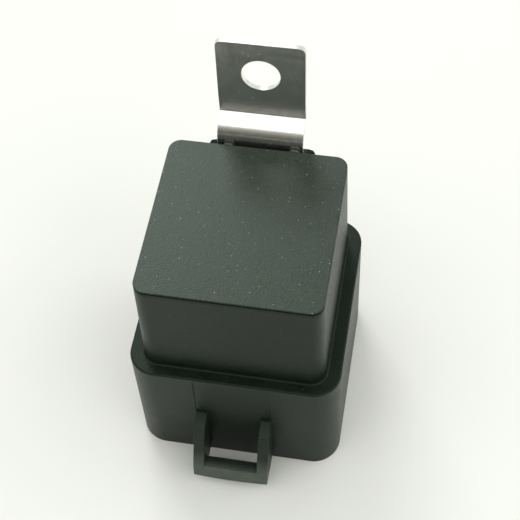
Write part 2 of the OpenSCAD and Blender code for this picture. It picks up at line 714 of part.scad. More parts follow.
// Contact head with a domed face, its flat side at z = 0 and its crown up
module contact_head() {
    dome_r = contact_d * 2;
    intersection() {
        cylinder(h = contact_t, d = contact_d);
        translate([0, 0, contact_t - dome_r]) sphere(dome_r, $fn = 96);
    }
}
module moving_contact() {
    color("#d8d6cc") opened() translate([0, contact_y, arm_z]) {
        translate([0, 0, arm_t]) contact_head();
        mirror([0, 0, 1]) contact_head();
        cylinder(h = arm_t, d = stem_d);
    }
}
module fixed_contact_open() {
    color("#d8d6cc") translate([0, contact_y, open_tab_z]) {
        contact_head();
        translate([0, 0, -blade_t - upset]) cylinder(h = blade_t + upset + tiny, d = stem_d);
    }
}
module fixed_contact_closed() {
    color("#d8d6cc") translate([0, contact_y, closed_tab_z]) {
        mirror([0, 0, 1]) contact_head();
        translate([0, 0, -tiny]) cylinder(h = blade_t + upset + tiny, d = stem_d);
    }
}

// ---- return spring: a helix with a straight hook at each end ----
function helix_point(i) = let (a = 360 * i / ring_steps, n = spring_turns * ring_steps)
    [spring_r * cos(a), spring_r * sin(a), spring_z0 + (spring_z1 - spring_z0) * i / n];
spring_path = concat(
    [[0, 0, spring_lug_z - 0.3], [0, 0, spring_lug_z + 1], [spring_r * 0.6, 0, spring_z0 - 0.25]],
    [for (i = [0 : spring_turns * ring_steps]) helix_point(i)],
    [[spring_r * 0.6, 0, spring_z1 + 0.25], [0, 0, spring_z1 + 0.6], [0, 0, pivot_z + armature_t + 0.3]]);
module return_spring() {
    color("#b8babb") translate([0, spring_y, 0]) wire(spring_path, wire_d);
}

// ---- copper braid: from the yoke's back over the hinge to the contact arm ----
module copper_braid() {
    r = braid_bend_r;
    y0 = yoke_back_y - yoke_t - braid_run;
    z0 = arm_z + arm_t + (yoke_back_y - y0) * sin(lift_angle) + tiny;
    drop_y = yoke_back_y + braid_off;
    low_z = pivot_z - braid_drop;
    color("#b06a3a") across(braid_w, braid_x) {
        translate([y0, z0]) square([drop_y - r - y0, braid_t]);
        translate([drop_y - r - tiny, z0 - r]) intersection() {
            difference() {
                circle(r + braid_t);
                circle(r);
            }
            square(2 * (r + braid_t));
        }
        translate([drop_y - tiny, low_z]) square([braid_t, z0 - r - low_z + tiny]);
        translate([yoke_back_y + tiny, low_z - braid_pad_h / 2])
            square([braid_t + braid_off - 2 * tiny, braid_pad_h]);
    }
}

cover();
mounting_bracket();
base_plate();
potting_seal();
terminal_30();
terminal_85();
terminal_86();
terminal_87();
terminal_87a();
yoke();
iron_core();
bobbin();
coil_winding();
coil_lead_85();
coil_lead_86();
armature();
contact_arm();
arm_rivets();
moving_contact();
fixed_contact_open();
fixed_contact_closed();
return_spring();
copper_braid();
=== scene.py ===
import json
from math import cos, pi, radians, sin, tan

import bmesh
import bpy
import numpy as np
from mathutils import Matrix, Vector


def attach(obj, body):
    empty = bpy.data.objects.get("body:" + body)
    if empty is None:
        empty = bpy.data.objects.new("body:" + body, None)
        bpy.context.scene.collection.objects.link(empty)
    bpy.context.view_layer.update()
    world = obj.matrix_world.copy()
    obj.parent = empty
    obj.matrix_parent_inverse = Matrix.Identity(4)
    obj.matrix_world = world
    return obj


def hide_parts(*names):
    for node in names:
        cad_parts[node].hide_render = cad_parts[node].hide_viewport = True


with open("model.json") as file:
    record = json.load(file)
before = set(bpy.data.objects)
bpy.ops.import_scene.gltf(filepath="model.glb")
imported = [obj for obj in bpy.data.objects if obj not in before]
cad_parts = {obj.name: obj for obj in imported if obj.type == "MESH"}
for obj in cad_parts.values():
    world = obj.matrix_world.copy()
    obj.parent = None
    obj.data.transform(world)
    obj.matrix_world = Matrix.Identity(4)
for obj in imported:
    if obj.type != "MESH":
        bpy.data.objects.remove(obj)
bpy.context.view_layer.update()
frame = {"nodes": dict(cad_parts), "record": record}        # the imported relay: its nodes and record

mm = 0.001
print("frame loaded:", len(frame["nodes"]), "nodes")

# sRGB hex text to a linear colour with full alpha
def linearColour(hexText):
    code = np.array([int(hexText[i:i + 2], 16) for i in (1, 3, 5)]) / 255
    code = np.where(code <= 0.04045, code / 12.92, ((code + 0.055) / 1.055) ** 2.4)
    return (*code, 1.0)

# adds a node; settings are its own properties, and a feed is a socket to link or a plain value
def addNode(tree, kind, settings={}, feeds={}):
    made = tree.nodes.new("ShaderNode" + kind)
    for name, value in settings.items():
        setattr(made, name, value)
    for name, value in feeds.items():
        if isinstance(value, bpy.types.NodeSocket):
            tree.links.new(value, made.inputs[name])
        else:
            made.inputs[name].default_value = value
    return made

# a fresh material, its node tree and the object coordinates in metres
def newMaterial(name):
    made = bpy.data.materials.new(name)
    made.use_nodes = True
    made.node_tree.nodes.clear()
    return made, made.node_tree, addNode(made.node_tree, "TexCoord").outputs["Object"]

# points in millimetres and faces to a smooth mesh object in metres, sharp where faces meet steeply
def meshPiece(name, points, faces, material, sharpDegrees=35):
    mesh = bpy.data.meshes.new(name)
    mesh.from_pydata((np.asarray(points, float) * mm).tolist(), [], [list(map(int, f)) for f in faces])
    mesh.validate()
    mesh.shade_smooth()
    mesh.set_sharp_from_angle(angle=radians(sharpDegrees))
    mesh.materials.append(material)
    piece = bpy.data.objects.new(name, mesh)
    bpy.context.scene.collection.objects.link(piece)
    return piece

# quads of a grid of rows by columns, numbered row by row; wrap joins the last column to the first
def gridFaces(rows, columns, wrap=False, first=0):
    i, j = np.meshgrid(np.arange(rows - 1), np.arange(columns if wrap else columns - 1), indexing="ij")
    k = (j + 1) % columns
    quads = np.stack([i * columns + j, (i + 1) * columns + j, (i + 1) * columns + k, i * columns + k], -1)
    return quads.reshape(-1, 4) + first

# rounded edges on a finished mesh
def roundEdges(piece, widthMm, segments=2, angle=35):
    bevel = piece.modifiers.new("edges", "BEVEL")
    bevel.width = widthMm * mm
    bevel.segments = segments
    bevel.limit_method = "ANGLE"
    bevel.angle_limit = radians(angle)
    bevel.harden_normals = True
    bevel.use_clamp_overlap = True

# How both finishes read their noise: its values lie mostly within a spread about one half, and a
# relief is as deep as a share of its grain's size.
noise = {"spread": (0.38, 0.62), "wide": (0.3, 0.7), "reliefDeep": 0.2}

moulding = {
    "cloudShare": 0.4, "glossFrom": (0.35, 0.65), "glossSwing": 0.07, "plainSheen": 0.5,
    "speckFade": 3.0, "specksOutside": 0.2, "ior": 1.5, "tint": "#ffffff"}

# Moulded thermoplastic. The tool's spark-eroded skin gives a fine even grain, and the melt's
# flow gives soft clouds. Pale specks are scattered over it: part dust, part painted glints where the
# light catches the grain. The real grain is too fine to show, so it is drawn as coarse as it needs to be.
# A painted-light zone, from one place along an axis to another, is drawn paler and with a stronger sheen than the
# rest: painted light where light falls on the surface.
def mouldedPlastic(name, look):
    look = {**moulding, **look}
    made, tree, place = newMaterial(name)
    clouds = addNode(tree, "TexNoise", {}, {
        "Vector": place, "Scale": 1 / (look["cloudMm"] * mm), "Detail": 3.0})
    grain = addNode(tree, "TexNoise", {}, {
        "Vector": place, "Scale": 1 / (look["grainMm"] * mm), "Detail": 2.0})
    grainPart = addNode(tree, "Math", {"operation": "MULTIPLY"}, {
        0: grain.outputs["Fac"], 1: 1 - look["cloudShare"]})
    mottle = addNode(tree, "Math", {"operation": "MULTIPLY_ADD"}, {
        0: clouds.outputs["Fac"], 1: look["cloudShare"], 2: grainPart.outputs[0]})
    patchy = addNode(tree, "MapRange", {}, {
        "Value": mottle.outputs[0], "From Min": noise["spread"][0], "From Max": noise["spread"][1]})
    tone = addNode(tree, "Mix", {"data_type": "RGBA"}, {
        0: patchy.outputs[0], 6: linearColour(look["dark"]), 7: linearColour(look["light"])})
    zone, shade, sheen = look.get("paintedLight"), tone.outputs[2], look["plainSheen"]
    if zone:
        within = addNode(tree, "MapRange", {}, {
            "Value": addNode(tree, "SeparateXYZ", {}, {0: place}).outputs[zone["axis"]],
            "From Min": zone["from"] * mm, "From Max": zone["to"] * mm})
        # painted light: inside the zone the mottled tone is paler
        paintedLightTone = addNode(tree, "Mix", {"data_type": "RGBA"}, {
            0: patchy.outputs[0], 6: linearColour(zone["dark"]), 7: linearColour(zone["light"])})
        shade = addNode(tree, "Mix", {"data_type": "RGBA"}, {
            0: within.outputs[0], 6: shade, 7: paintedLightTone.outputs[2]}).outputs[2]
        sheen = addNode(tree, "MapRange", {}, {
            "Value": within.outputs[0], "To Min": look["plainSheen"], "To Max": zone["sheen"]}).outputs[0]
    cells = addNode(tree, "TexVoronoi", {}, {"Vector": place, "Scale": 1 / (look["speckGapMm"] * mm)})
    near = addNode(tree, "Math", {"operation": "LESS_THAN"}, {
        0: cells.outputs["Distance"], 1: look["speckMm"] / look["speckGapMm"]})
    chosen = addNode(tree, "MapRange", {}, {
        "Value": addNode(tree, "SeparateColor", {}, {0: cells.outputs["Color"]}).outputs[0],
        "From Min": 1 - look["speckShare"], "From Max": 1.0})
    paled = addNode(tree, "Math", {"operation": "POWER"}, {0: chosen.outputs[0], 1: look["speckFade"]})
    speck = addNode(tree, "Math", {"operation": "MULTIPLY"}, {0: near.outputs[0], 1: paled.outputs[0]})
    if zone:      # outside the zone most specks are dimmed, as their painted glints go with the painted light
        seenShare = addNode(tree, "MapRange", {}, {
            "Value": within.outputs[0], "To Min": look["specksOutside"]})
        speck = addNode(tree, "Math", {"operation": "MULTIPLY"}, {
            0: speck.outputs[0], 1: seenShare.outputs[0]})
    skin = addNode(tree, "Mix", {"data_type": "RGBA"}, {
        0: speck.outputs[0], 6: shade, 7: linearColour(look["speck"])})
    gloss = addNode(tree, "MapRange", {}, {
        "Value": mottle.outputs[0], "From Min": look["glossFrom"][0], "From Max": look["glossFrom"][1],
        "To Min": look["roughness"] - look["glossSwing"], "To Max": look["roughness"] + look["glossSwing"]})
    relief = addNode(tree, "Bump", {}, {
        "Height": grain.outputs["Fac"], "Strength": look["relief"],
        "Distance": look["grainMm"] * noise["reliefDeep"] * mm})
    shader = addNode(tree, "BsdfPrincipled", {}, {
        "Base Color": skin.outputs[2], "Roughness": gloss.outputs[0], "Normal": relief.outputs[0],
        "Specular IOR Level": sheen, "IOR": look["ior"], "Specular Tint": linearColour(look["tint"])})
    addNode(tree, "OutputMaterial", {}, {"Surface": shader.outputs[0]})
    return made

metalwork = {
    "linesShare": 0.5, "toneFrom": (0.35, 0.7), "glossBy": (0.75, 1.3), "haze": 0.12, "hazeRoughness": 0.6,
    "hazeFrom": (0.36, 0.64), "hazeBy": (0.5, 1.5)}

# Bare or plated metal. Rolling, drawing or brushing leaves fine lines along one axis, which
# spread the highlight across them, and handling leaves soft duller patches. A share of the surface
# is pitted more finely and scatters the light widely, as a haze. The lines are drawn coarser than
# the real ones, so that they show.
def workedMetal(name, look):
    look = {**metalwork, **look}
    made, tree, place = newMaterial(name)
    stretch = addNode(tree, "Mapping", {}, {"Vector": place, "Scale": look["stretch"]})
    lines = addNode(tree, "TexNoise", {}, {
        "Vector": stretch.outputs[0], "Scale": 1 / (look["lineMm"] * mm), "Detail": 4.0})
    patches = addNode(tree, "TexNoise", {}, {
        "Vector": place, "Scale": 1 / (look["patchMm"] * mm), "Detail": 4.0})
    worn = addNode(tree, "MapRange", {}, {
        "Value": patches.outputs["Fac"], "From Min": look["toneFrom"][0], "From Max": look["toneFrom"][1]})
    tone = addNode(tree, "Mix", {"data_type": "RGBA"}, {
        0: worn.outputs[0], 6: linearColour(look["light"]), 7: linearColour(look["dark"])})
    patchPart = addNode(tree, "Math", {"operation": "MULTIPLY"}, {
        0: patches.outputs["Fac"], 1: 1 - look["linesShare"]})
    both = addNode(tree, "Math", {"operation": "MULTIPLY_ADD"}, {
        0: lines.outputs["Fac"], 1: look["linesShare"], 2: patchPart.outputs[0]})
    gloss = addNode(tree, "MapRange", {}, {
        "Value": both.outputs[0], "From Min": noise["wide"][0], "From Max": noise["wide"][1],
        "To Min": look["roughness"] * look["glossBy"][0], "To Max": look["roughness"] * look["glossBy"][1]})
    relief = addNode(tree, "Bump", {}, {
        "Height": lines.outputs["Fac"], "Strength": look["relief"],
        "Distance": look["lineMm"] * noise["reliefDeep"] * mm})
    polished, hazy = (addNode(tree, "BsdfPrincipled", {}, {
        "Base Color": tone.outputs[2], "Metallic": 1.0, "Roughness": roughness,
        "Normal": relief.outputs[0]}) for roughness in (gloss.outputs[0], look["hazeRoughness"]))
    dull = addNode(tree, "MapRange", {}, {
        "Value": patches.outputs["Fac"], "From Min": look["hazeFrom"][0], "From Max": look["hazeFrom"][1],
        "To Min": look["haze"] * look["hazeBy"][0], "To Max": look["haze"] * look["hazeBy"][1]})
    mixed = addNode(tree, "MixShader", {}, {0: dull.outputs[0], 1: polished.outputs[0], 2: hazy.outputs[0]})
    addNode(tree, "OutputMaterial", {}, {"Surface": mixed.outputs[0]})
    return made

coverPlastic = mouldedPlastic("blackNylonSparkEroded", {   # the roof's finish is coarser than the walls', and the top is drawn paler with a stronger sheen: painted light
    "dark": "#0c120b", "light": "#1a2119", "speck": "#a6aba2", "cloudMm": 3, "cloudShare": 0.25,
    "grainMm": 0.22, "speckGapMm": 0.6, "speckMm": 0.07, "speckShare": 1.0, "roughness": 0.39,
    "relief": 0.7, "ior": 1.31, "tint": "#e6fff0",
    # painted sheen: the roof's top face is paler, with about twice the specular level, for the light falling on
    # it
    "paintedLight": {"axis": "Z", "from": 42.0, "to": 42.08, "dark": "#11150f", "light": "#2f352d", "sheen": 1.08}})
latchPlasticPaintedSheen = mouldedPlastic("blackNylonPaintedSheen", {   # the same nylon a shade lighter, and paler still on the bar's front face: painted reflection
    "dark": "#131812", "light": "#1f251d", "speck": "#6d726a", "cloudMm": 2, "grainMm": 0.25,
    "speckGapMm": 1.1, "speckMm": 0.06, "speckShare": 0.3, "roughness": 0.45, "relief": 0.5,
    "ior": 1.38, "tint": "#e6fff0",
    # painted reflection: the bar's front face is drawn paler for the pale floor it reflects
    "paintedLight": {"axis": "Y", "from": -20.6, "to": -21.9, "dark": "#40463d", "light": "#51574e", "sheen": 0.5}})
nubPlasticPaintedGlint = mouldedPlastic("blackNylonPaintedGlint", {  # glossier, and drawn far lighter than the cover: painted glints on the nubs' rounded tops
    # painted glints: these light tones stand in for the lamps' glints on the nubs
    "dark": "#3a3d35", "light": "#565850", "speck": "#8d9088", "cloudMm": 0.5, "grainMm": 0.2,
    "speckGapMm": 1.1, "speckMm": 0.06, "speckShare": 0.3, "roughness": 0.2, "relief": 0.8})
basePlastic = mouldedPlastic("greyNylonMoulded", {      # a plain satin, greyer than the cover
    "dark": "#3c3f3e", "light": "#454846", "speck": "#5c5f5c", "cloudMm": 4, "grainMm": 0.3,
    "speckGapMm": 1.4, "speckMm": 0.06, "speckShare": 0.2, "roughness": 0.5, "relief": 0.3})
bobbinNylon = mouldedPlastic("naturalNylonMoulded", {   # unfilled, so it is creamy and nearly even
    "dark": "#cfc9b4", "light": "#ded8c4", "speck": "#e8e4d6", "cloudMm": 3, "grainMm": 0.3,
    "speckGapMm": 1.4, "speckMm": 0.05, "speckShare": 0.1, "roughness": 0.42, "relief": 0.15})
sealEpoxy = mouldedPlastic("blackEpoxyPoured", {      # levels itself, so it is smooth and glossy
    "dark": "#17191a", "light": "#1e2122", "speck": "#3a3d3e", "cloudMm": 6, "grainMm": 1.2,
    "speckGapMm": 2.2, "speckMm": 0.12, "speckShare": 0.15, "roughness": 0.18, "relief": 0.2, "ior": 1.55})
bracketSteel = workedMetal("brightZincSteelRolled", {  # cold-rolled strip, lines run up the strip
    "light": "#eeeeea", "dark": "#ddded8", "stretch": (1, 0.5, 0.4), "lineMm": 0.35, "patchMm": 0.9,
    "roughness": 0.22, "relief": 0.06, "haze": 0.11})
tinnedBrass = workedMetal("tinnedBrassStamped", {       # pale tin with soft warm patches
    "light": "#d9d8d2", "dark": "#c6c2b4", "stretch": (1, 1, 0.08), "lineMm": 0.25, "patchMm": 2.0,
    "roughness": 0.26, "relief": 0.15})
softIron = workedMetal("nickeledSoftIron", {            # a duller, warmer grey than the bracket
    "light": "#b6b5b0", "dark": "#9f9d96", "stretch": (1, 0.1, 1), "lineMm": 0.3, "patchMm": 3.0,
    "roughness": 0.34, "relief": 0.2})
springBronze = workedMetal("phosphorBronzeRolled", {    # warm, with lines along the strip
    "light": "#d3a178", "dark": "#bf8a60", "stretch": (1, 0.08, 1), "lineMm": 0.2, "patchMm": 2.0,
    "roughness": 0.28, "relief": 0.15})
rivetSteel = workedMetal("upsetSteelRivet", {           # hammered, so it is mottled with no grain
    "light": "#b4b4b2", "dark": "#8f8f8c", "stretch": (1, 1, 1), "lineMm": 0.3, "patchMm": 0.6,
    "roughness": 0.36, "relief": 0.2})
contactSilver = workedMetal("silverTinOxidePressed", {  # pressed powder: white and finely grained
    "light": "#dcdad4", "dark": "#bdb9b0", "stretch": (1, 1, 1), "lineMm": 0.15, "patchMm": 0.8,
    "roughness": 0.3, "relief": 0.2})
springSteel = workedMetal("drawnSpringWire", {          # drawn bright, with a fine even sheen
    "light": "#a9aaab", "dark": "#8b8c8e", "stretch": (1, 1, 1), "lineMm": 0.12, "patchMm": 0.6,
    "roughness": 0.3, "relief": 0.15})
enamelledCopper = workedMetal("enamelledCopperWound", {  # the enamel shows as a redder copper
    "light": "#c4713f", "dark": "#a5562b", "stretch": (1, 1, 1), "lineMm": 0.2, "patchMm": 1.2,
    "roughness": 0.24, "relief": 0.1})
braidedCopper = workedMetal("braidedBareCopper", {      # bare strands, shown by a deep relief
    "light": "#cf8658", "dark": "#a86440", "stretch": (1, 0.4, 1), "lineMm": 0.18, "patchMm": 0.5,
    "roughness": 0.42, "relief": 0.8})

slotFinish = {
    "cover_plastic": coverPlastic, "bracket_steel": bracketSteel, "base_plastic": basePlastic,
    "sealing_epoxy": sealEpoxy, "tinned_brass": tinnedBrass, "soft_iron": softIron,
    "bobbin_nylon": bobbinNylon, "enamelled_copper": enamelledCopper, "spring_bronze": springBronze,
    "rivet_steel": rivetSteel, "contact_silver": contactSilver, "spring_steel": springSteel,
    "braided_copper": braidedCopper}
slotOf = {part["node"]: part["material_slot"] for part in frame["record"]["subparts"]}
for nodeName, solid in frame["nodes"].items():
    if not solid.material_slots:
        solid.data.materials.append(None)
    for holder in solid.material_slots:
        holder.material = slotFinish[slotOf[nodeName]]
print("finishes made")

cover = {
    "capX": 13.5, "capY": 13.8, "capR": 1.9, "capDraft": 0.45, "capTop": 42.1, "shoulder": 22.8,
    "edgeR": 0.12, "footR": 0.3, "grooveIn": 0.3, "grooveHigh": 0.24,
    "skirtX": 16.35, "skirtR": 4.35, "skirtDraft": 0.15, "shoulderR": 0.3, "lipR": 0.2,
    "skirtWall": 1.5, "capWall": 1.3, "shoulderUnder": 21.0, "roofUnder": 40.8,
    "panelX": 5.93, "panelLow": 12.9, "panelFull": 17.0, "panelHigh": 22.0, "panelDeep": 0.16,
    "pocketX": (4.33, 5.88), "pocketZ": (12.7, 13.4), "pocketDeep": 0.22,
    "capRows": (40.9, 39, 36, 32, 28, 25, 23.6), "skirtInsideRows": (0.3, 4, 8, 12, 16, 19, 20.9),
    "capInsideRows": (25, 32, 38), "roofInset": 5.0, "hair": 0.05, "leastR": 0.3, "frontBand": 0.6}

# Ring of a rounded rectangle, counter-clockwise from the front's left end. The straight sides
# have their points at fixed places, close together at the edges of the panel and the pockets, so
# that every ring has the same columns; a ring narrower than sideReach draws them in. A corner is
# a quarter circle of radius r about (hx - r, hy - r).
edgePlaces = [x + aside for x in cover["pocketX"] for aside in (-0.03, 0.03)] + [cover["panelX"] + 0.02]
sidePlaces = np.sort(np.array([2.0, 3.2, 4.2, 4.9, 5.4, 6.05, 7.5, 9.5, 11.2, *edgePlaces]))
sidePlaces = np.concatenate([-sidePlaces[::-1], [0.0], sidePlaces])
sideReach = 11.5
cornerSteps = 14

def roundedRing(hx, hy, r, z):
    cx, cy = hx - r, hy - r
    xs = np.concatenate([[-cx], sidePlaces * min(1, cx / sideReach), [cx]])
    ys = np.concatenate([[-cy], sidePlaces * min(1, cy / sideReach), [cy]])
    turn = np.linspace(0, pi / 2, cornerSteps + 1)[1:-1]
    parts = [np.stack([xs, np.full_like(xs, -hy)], 1)]
    parts.append(np.stack([cx + r * np.sin(turn), -cy - r * np.cos(turn)], 1))
    parts.append(np.stack([np.full_like(ys, hx), ys], 1))
    parts.append(np.stack([cx + r * np.cos(turn), cy + r * np.sin(turn)], 1))
    parts.append(np.stack([xs[::-1], np.full_like(xs, hy)], 1))
    parts.append(np.stack([-cx - r * np.sin(turn), cy + r * np.cos(turn)], 1))
    parts.append(np.stack([np.full_like(ys, -hx), ys[::-1]], 1))
    parts.append(np.stack([-cx - r * np.cos(turn), -cy - r * np.sin(turn)], 1))
    flat = np.concatenate(parts)
    return np.column_stack([flat, np.full(len(flat), z)])

# a ring of the cap at height z, moved in by inset: the half width grows downwards with the draft
def capRing(z, inset=0.0):
    lean = cover["capDraft"] * (cover["capTop"] - z) / (cover["capTop"] - cover["shoulder"]) - inset
    r = max(cover["capR"] + lean, cover["leastR"])
    return roundedRing(cover["capX"] + lean, cover["capY"] + lean, r, z)

# a ring of the skirt at height z, moved in by inset: the half width shrinks upwards with the draft
def skirtRing(z, inset=0.0):
    lean = cover["skirtDraft"] * z / cover["shoulder"] + inset
    half = cover["skirtX"] - lean
    return roundedRing(half, half, max(cover["skirtR"] - lean, cover["leastR"]), z)

# One closed skin: the profile runs from the middle of the roof over the cap's edge, down the
# leaning wall, out along the shoulder, down the skirt, round its lip and back up inside.
def coverShell():
    c = cover
    top, low = c["capTop"], c["shoulder"]
    arc = np.linspace(0, pi / 2, 6)
    rings = [capRing(top, inset) for inset in (c["roofInset"], 1.2, c["edgeR"] + 0.06)]
    rings += [capRing(top - c["edgeR"] * (1 - cos(a)), c["edgeR"] * (1 - sin(a))) for a in arc]
    brink = top - c["edgeR"] - 0.04
    rings += [capRing(brink), capRing(brink - 0.03, c["grooveIn"] * 0.8),
              capRing(brink - 0.06, c["grooveIn"]), capRing(brink - c["grooveHigh"], c["grooveIn"]),
              capRing(brink - c["grooveHigh"] - 0.05, 0.02), capRing(brink - c["grooveHigh"] - 0.1)]
    footR = c["footR"]
    rings += [capRing(z) for z in (*c["capRows"], low + footR + c["hair"])]
    rings += [capRing(low + footR * (1 - sin(a)), -footR * (1 - cos(a))) for a in arc]
    start, end = capRing(low, -footR), skirtRing(low, c["shoulderR"])
    rings += [start + (end - start) * t for t in (0.05, 0.5, 0.95)]
    rings += [skirtRing(low - c["shoulderR"] * (1 - cos(a)), c["shoulderR"] * (1 - sin(a))) for a in arc]
    pocketLow, pocketHigh = c["pocketZ"]
    beside = (0.1, 0.02, -0.02, -0.1)      # rows above and below an edge of a pocket
    rings += [skirtRing(c["panelHigh"] + rise) for rise in (0.44, 0.06, 0.01, -0.03, -0.1)]
    rings += [skirtRing(z) for z in (19, 16, 14)]
    rings += [skirtRing(pocketHigh + rise) for rise in beside]
    rings += [skirtRing(c["panelLow"] + rise) for rise in (0.04, -0.02)]
    rings += [skirtRing(pocketLow + rise) for rise in beside]
    rings += [skirtRing(z) for z in (10, 7, 4, 1.5, 0.6, c["lipR"] + c["hair"])]
    rings += [skirtRing(c["lipR"] * (1 - sin(a)), c["lipR"] * (1 - cos(a))) for a in arc]
    innerLip = c["skirtWall"] - c["lipR"]
    rings += [skirtRing(c["lipR"] * (1 - cos(a)), innerLip + c["lipR"] * sin(a)) for a in arc]
    rings += [skirtRing(z, c["skirtWall"]) for z in c["skirtInsideRows"]]
    under = c["shoulderUnder"]
    rings += [skirtRing(under, c["skirtWall"] + 0.1), capRing(under, c["capWall"] - c["hair"])]
    rings += [capRing(z, c["capWall"]) for z in (under + 0.1, *c["capInsideRows"], c["roofUnder"] - 0.1)]
    rings += [capRing(c["roofUnder"], c["capWall"] + 0.1), capRing(c["roofUnder"], c["roofInset"])]
    points = np.stack(rings)
    rows, columns = points.shape[:2]
    x, y, z = points[..., 0], points[..., 1], points[..., 2]
    front = y < -(c["skirtX"] - c["frontBand"])
    panel = front & (abs(x) < c["panelX"]) & (z > c["panelLow"]) & (z < c["panelHigh"])
    pocket = front & (abs(x) > c["pocketX"][0]) & (abs(x) < c["pocketX"][1])
    pocket &= (z > c["pocketZ"][0]) & (z < c["pocketZ"][1])
    fade = np.clip((z - c["panelLow"]) / (c["panelFull"] - c["panelLow"]), 0, 1)   # none at the latch
    y += np.where(pocket, c["pocketDeep"], np.where(panel, c["panelDeep"] * fade, 0.0))
    faces = gridFaces(rows, columns, wrap=True).tolist()
    faces.append(list(range(columns)))
    faces.append(list(range(rows * columns - 1, (rows - 1) * columns - 1, -1)))
    return meshPiece("coverShell", points.reshape(-1, 3), faces, coverPlastic, sharpDegrees=40)

shell = coverShell()
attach(shell, "housing")
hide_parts("cover")

latch = {
    "halfWide": 5.98, "cheek": 1.75, "wallY": -16.22, "rootY": -15.6, "topZ": 12.4,
    "crease": (-18.86, 11.26), "barTop": (-21.92, 4.8), "toe": (-22.38, 2.1), "barThick": 2.0,
    "rootZ": 1.5, "bow": 0.42, "stations": 13, "edge": 0.14}

# Latch loop: two cheeks that run from the skirt's wall out to a bar across the front. Its side
# view is one outline carried along x; between the cheeks only the bar's part of it runs across,
# and the bar's lower edge hangs by bow * (1 - (x / halfWide)^2).
def latchLoop():
    c = latch
    between = np.linspace(-1, 1, c["stations"]) * (c["halfWide"] - c["cheek"])
    stations = np.concatenate([[-c["halfWide"]], between, [c["halfWide"]]])
    sag = c["bow"] * (1 - (stations / c["halfWide"]) ** 2)
    (by, bz), (ty, tz) = c["barTop"], c["toe"]
    side = np.array([[c["rootY"], c["topZ"]], [c["wallY"], c["topZ"]], c["crease"], [by, bz], [ty, tz],
                     [ty + c["barThick"], tz], [c["rootY"], c["rootZ"]], [by + c["barThick"], bz]])
    count = len(side)
    points = np.zeros((len(stations), count, 3))
    points[..., 0] = stations[:, None]
    points[..., 1:] = side
    points[:, 4:6, 2] -= sag[:, None]
    last = len(stations) - 1
    at = lambda station, corner: station * count + corner
    faces = [[at(0, k) for k in (0, 1, 2, 3, 4, 5, 6)], [at(last, k) for k in (6, 5, 4, 3, 2, 1, 0)]]
    faces += [[at(1, k) for k in (6, 5, 7, 3, 2, 1, 0)], [at(last - 1, k) for k in (0, 1, 2, 3, 7, 5, 6)]]
    spans = [((0, last - 1), (0, 1, 2, 3, 4, 5, 6)),    # the cheeks' outlines
             (range(1, last - 1), (3, 4, 5, 7))]        # the bar between them
    for starts, corners in spans:
        for s in starts:
            faces += [[at(s, a), at(s + 1, a), at(s + 1, b), at(s, b)]
                      for a, b in zip(corners, corners[1:] + corners[:1])]
    piece = meshPiece("latchLoop", points.reshape(-1, 3), faces, latchPlasticPaintedSheen)
    roundEdges(piece, c["edge"], segments=3)
    return piece

loop = latchLoop()
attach(loop, "housing")
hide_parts("cover")

sleeve = {
    "halfWide": 8.2, "frontY": 13.4, "backY": 16.2, "slotX": 6.55, "slotY": 15.25, "footZ": 22.7,
    "topZ": 40.1, "shoulderR": 1.1, "cornerR": 0.5, "sideRow": 0.8,
    "nubX": (-4.75, 5.25), "nubSize": (0.85, 0.36, 1.3), "nubAt": (14.03, 40.85), "nubGrid": (13, 24)}

# Sleeve for the bracket's leg: an upright wall of two sides and a back, carried along a U-shaped
# path. Its top falls away at both outer corners as a quarter circle of radius shoulderR.
def bracketSleeve():
    c = sleeve
    turn = np.linspace(0, pi / 2, 6)[1:-1]
    r, hx, fy, by = c["cornerR"], c["halfWide"], c["frontY"], c["backY"]
    sideY, fallX, slotX = fy + c["sideRow"], hx - c["shoulderR"], c["slotX"]
    outer = [[-hx, fy], [-hx, sideY], [-hx, by - r]]
    outer += [[-hx + r - r * cos(a), by - r + r * sin(a)] for a in turn]
    outer += [[x, by] for x in (-hx + r, -fallX, -slotX, 0, slotX, fallX, hx - r)]
    outer += [[hx - r + r * sin(a), by - r + r * cos(a)] for a in turn]
    outer += [[hx, by - r], [hx, sideY], [hx, fy]]
    outer = np.array(outer)
    inner = np.column_stack([np.clip(outer[:, 0], -slotX, slotX), np.minimum(outer[:, 1], c["slotY"])])
    fall = lambda x: c["shoulderR"] - np.sqrt(c["shoulderR"] ** 2 - np.maximum(abs(x) - fallX, 0) ** 2)
    rows = [np.column_stack([outer, np.full(len(outer), c["footZ"])]),
            np.column_stack([outer, c["topZ"] - fall(outer[:, 0])]),
            np.column_stack([inner, c["topZ"] - fall(inner[:, 0])]),
            np.column_stack([inner, np.full(len(inner), c["footZ"])])]
    points = np.stack(rows, 1)
    count = len(outer)
    faces = gridFaces(count, 4, wrap=True)[:, ::-1].tolist()
    faces += [[0, 1, 2, 3], [count * 4 - 1, count * 4 - 2, count * 4 - 3, count * 4 - 4]]
    return meshPiece("bracketSleeve", points.reshape(-1, 3), faces, coverPlastic)

sleeveWall = bracketSleeve()
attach(sleeveWall, "housing")
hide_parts("cover")

# Grip nubs at the sleeve's mouth: squared-off domes, |x/a|^3 + |y/b|^3 + |z/c|^3 = 1
def gripNubs():
    c = sleeve
    rows, columns = c["nubGrid"]
    u, v = np.meshgrid(np.linspace(-pi / 2, pi / 2, rows), np.linspace(0, 2 * pi, columns + 1)[:-1],
                       indexing="ij")
    way = np.stack([np.cos(u) * np.cos(v), np.cos(u) * np.sin(v), np.sin(u)], -1)
    shape = way / (np.abs(way) ** 3).sum(-1, keepdims=True) ** (1 / 3) * np.array(c["nubSize"])
    points, faces = [], []
    for x in c["nubX"]:
        faces += gridFaces(rows, columns, wrap=True, first=len(points) * rows * columns)[:, ::-1].tolist()
        points.append((shape + np.array([x, *c["nubAt"]])).reshape(-1, 3))
    return meshPiece("gripNubs", np.concatenate(points), faces, nubPlasticPaintedGlint, sharpDegrees=80)

nubs = gripNubs()
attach(nubs, "housing")
print("cover made")

